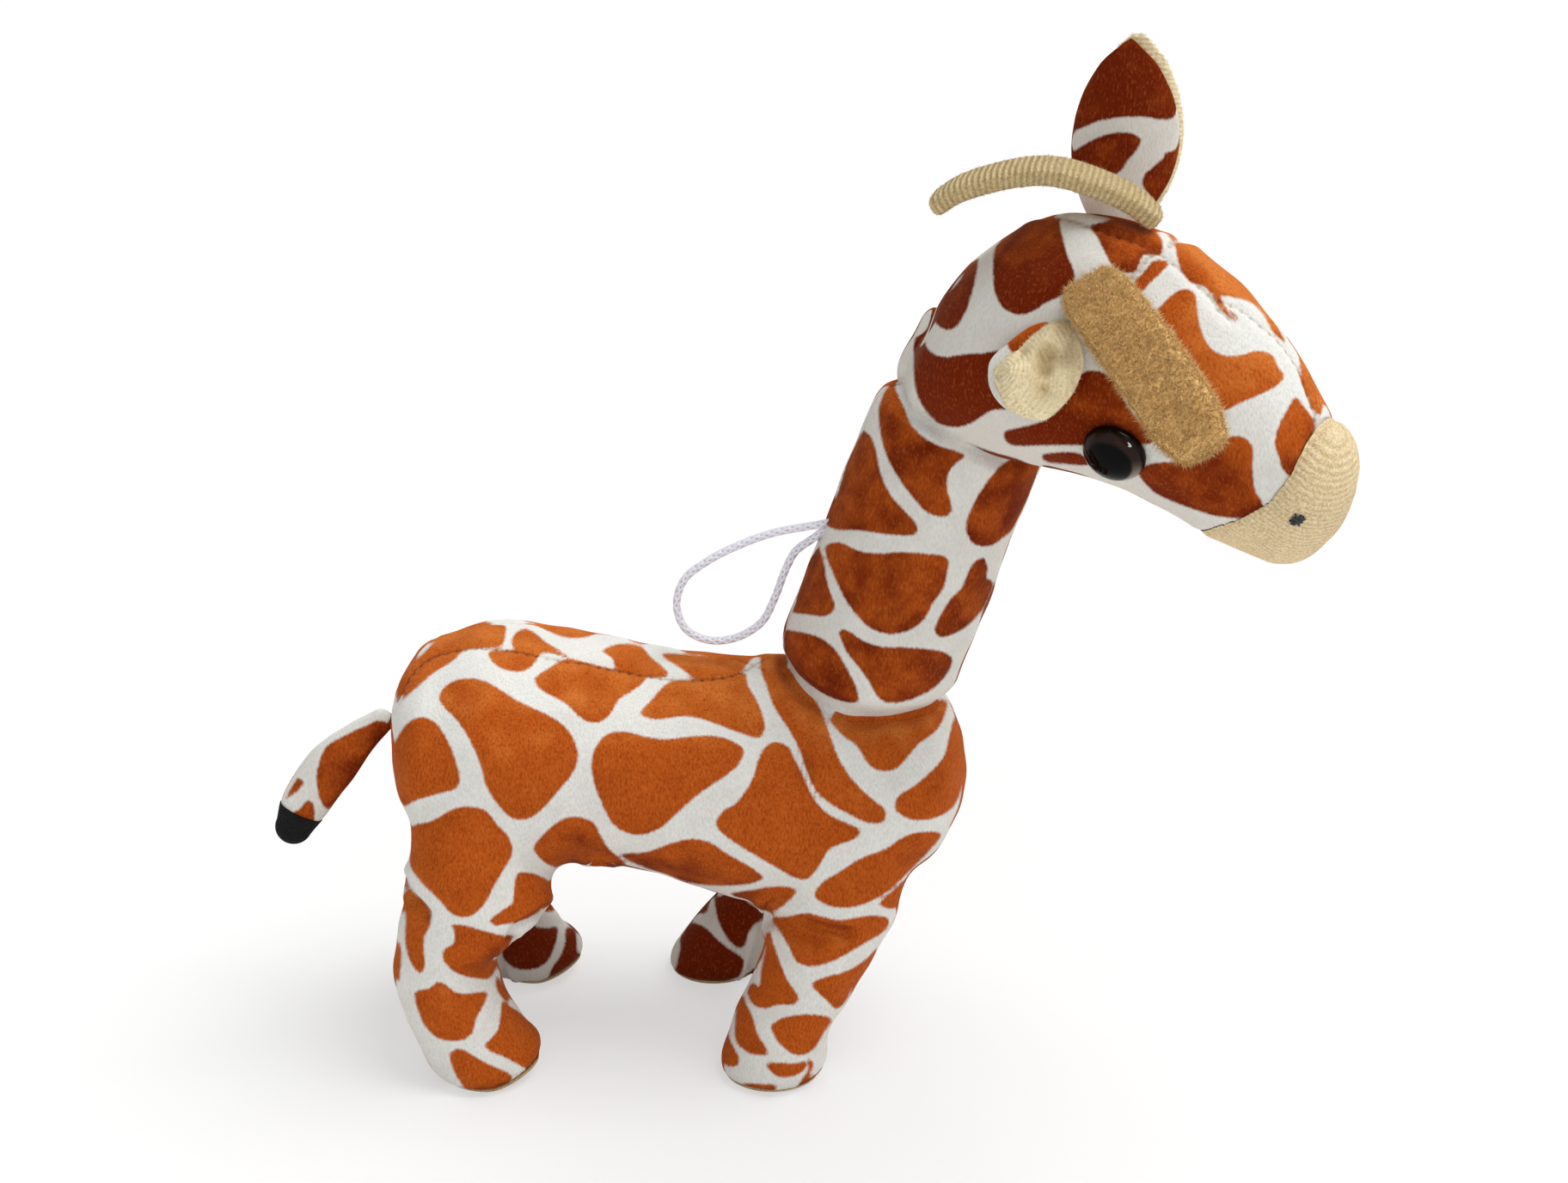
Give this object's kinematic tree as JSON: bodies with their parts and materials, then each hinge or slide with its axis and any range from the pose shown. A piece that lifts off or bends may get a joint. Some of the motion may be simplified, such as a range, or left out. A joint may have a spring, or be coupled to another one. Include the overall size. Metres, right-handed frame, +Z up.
{
  "type": "plush giraffe",
  "caption": "Stuffed giraffe with a printed plush cover, knitted muzzle and horns, safety eyes, a tail and a hanging loop, standing with its head turned.",
  "frame": {"origin": "on the floor under the middle of the giraffe's box, loop left out", "axes": "+X from the rump to the chest, +Y to the giraffe's left, +Z up; it stands on its four soles"},
  "size_m": [0.2578, 0.1266, 0.2561],
  "materials": {
    "print_plush": "matte",
    "gusset_plush": "matte",
    "tan_knit": "matte",
    "tan_lining": "matte",
    "stuffing": "matte",
    "black_felt": "matte",
    "braided_cord": "matte",
    "nostril_thread": "matte",
    "eye_lens": "gloss",
    "eye_pupil": "gloss",
    "eye_washer": "matte"
  },
  "bodies": {
    "torso": {"torso_near_panel": "print_plush", "torso_far_panel": "print_plush", "back_gusset": "gusset_plush", "torso_stuffing": "stuffing"},
    "neck": {"neck_cover": "print_plush", "neck_stuffing": "stuffing"},
    "head": {"head_near_panel": "print_plush", "head_far_panel": "print_plush", "muzzle_cover": "tan_knit", "head_stuffing": "stuffing", "far_eye_lens": "eye_lens", "far_eye_pupil_and_shank": "eye_pupil", "far_eye_lock_washer": "eye_washer", "near_eye_lens": "eye_lens", "near_eye_pupil_and_shank": "eye_pupil", "near_eye_lock_washer": "eye_washer", "far_nostril_stitch": "nostril_thread", "near_nostril_stitch": "nostril_thread"},
    "far_horn": {"far_horn": "tan_knit"},
    "far_ear": {"far_ear_lining": "tan_lining", "far_ear_outer": "print_plush"},
    "near_horn": {"near_horn": "tan_knit"},
    "near_ear": {"near_ear_lining": "tan_lining", "near_ear_outer": "print_plush"},
    "tail": {"tail": "print_plush", "tail_tip": "black_felt"},
    "hanging_loop": {"hanging_loop": "braided_cord"},
    "near_hind_leg": {"near_hind_leg_cover": "print_plush", "near_hind_leg_stuffing": "stuffing", "near_hind_sole": "tan_lining"},
    "far_hind_leg": {"far_hind_leg_cover": "print_plush", "far_hind_leg_stuffing": "stuffing", "far_hind_sole": "tan_lining"},
    "near_front_leg": {"near_front_leg_cover": "print_plush", "near_front_leg_stuffing": "stuffing", "near_front_sole": "tan_lining"},
    "far_front_leg": {"far_front_leg_cover": "print_plush", "far_front_leg_stuffing": "stuffing", "far_front_sole": "tan_lining"}
  },
  "joints": [
    {"name": "neck_bend", "type": "hinge", "parent": "torso", "child": "neck", "pos_m": [0.02273, 0.02602, 0.09806], "axis": [0, 1, 0], "range_deg": [-5, 10], "stiffness_Nm_per_rad": 1},
    {"name": "head_nod", "type": "hinge", "parent": "neck", "child": "head", "pos_m": [0.05075, 0.02602, 0.17299], "axis": [0.6111, 0.7661, 0.199], "range_deg": [-10, 10], "stiffness_Nm_per_rad": 0.6},
    {"name": "near_hind_leg_swing", "type": "hinge", "parent": "torso", "child": "near_hind_leg", "pos_m": [-0.07282, 0.00802, 0.07], "axis": [0, 1, 0], "range_deg": [-12, 12], "stiffness_Nm_per_rad": 1},
    {"name": "far_hind_leg_swing", "type": "hinge", "parent": "torso", "child": "far_hind_leg", "pos_m": [-0.07282, 0.04402, 0.07], "axis": [0, 1, 0], "range_deg": [-12, 12], "stiffness_Nm_per_rad": 1},
    {"name": "near_front_leg_swing", "type": "hinge", "parent": "torso", "child": "near_front_leg", "pos_m": [0.01832, 0.00802, 0.062], "axis": [0, 1, 0], "range_deg": [-12, 12], "stiffness_Nm_per_rad": 1},
    {"name": "far_front_leg_swing", "type": "hinge", "parent": "torso", "child": "far_front_leg", "pos_m": [0.01832, 0.04402, 0.062], "axis": [0, 1, 0], "range_deg": [-12, 12], "stiffness_Nm_per_rad": 1},
    {"name": "tail_lift", "type": "hinge", "parent": "torso", "child": "tail", "pos_m": [-0.09892, 0.02602, 0.0886], "axis": [0, 1, 0], "range_deg": [-25, 35], "stiffness_Nm_per_rad": 0.02},
    {"name": "far_horn_lift", "type": "hinge", "parent": "head", "child": "far_horn", "pos_m": [0.08316, -0.00501, 0.2208], "axis": [0.2101, 0.9733, 0.093], "range_deg": [0, 30], "stiffness_Nm_per_rad": 0.01},
    {"name": "near_horn_lift", "type": "hinge", "parent": "head", "child": "near_horn", "pos_m": [0.06791, -0.02191, 0.20837], "axis": [-0.8531, -0.042, -0.5201], "range_deg": [0, 30], "stiffness_Nm_per_rad": 0.01},
    {"name": "far_ear_flop", "type": "hinge", "parent": "head", "child": "far_ear", "pos_m": [0.07988, 0.01888, 0.21498], "axis": [0.9363, -0.3501, -0.028], "range_deg": [-20, 20], "stiffness_Nm_per_rad": 0.01},
    {"name": "near_ear_flop", "type": "hinge", "parent": "head", "child": "near_ear", "pos_m": [0.06337, -0.02291, 0.19133], "axis": [0.4791, -0.4231, -0.7691], "range_deg": [-20, 20], "stiffness_Nm_per_rad": 0.01},
    {"name": "loop_swing", "type": "hinge", "parent": "neck", "child": "hanging_loop", "pos_m": [0.0131, 0.02602, 0.1415], "axis": [0, 1, 0], "range_deg": [-2, 15], "stiffness_Nm_per_rad": 0.01}
  ]
}
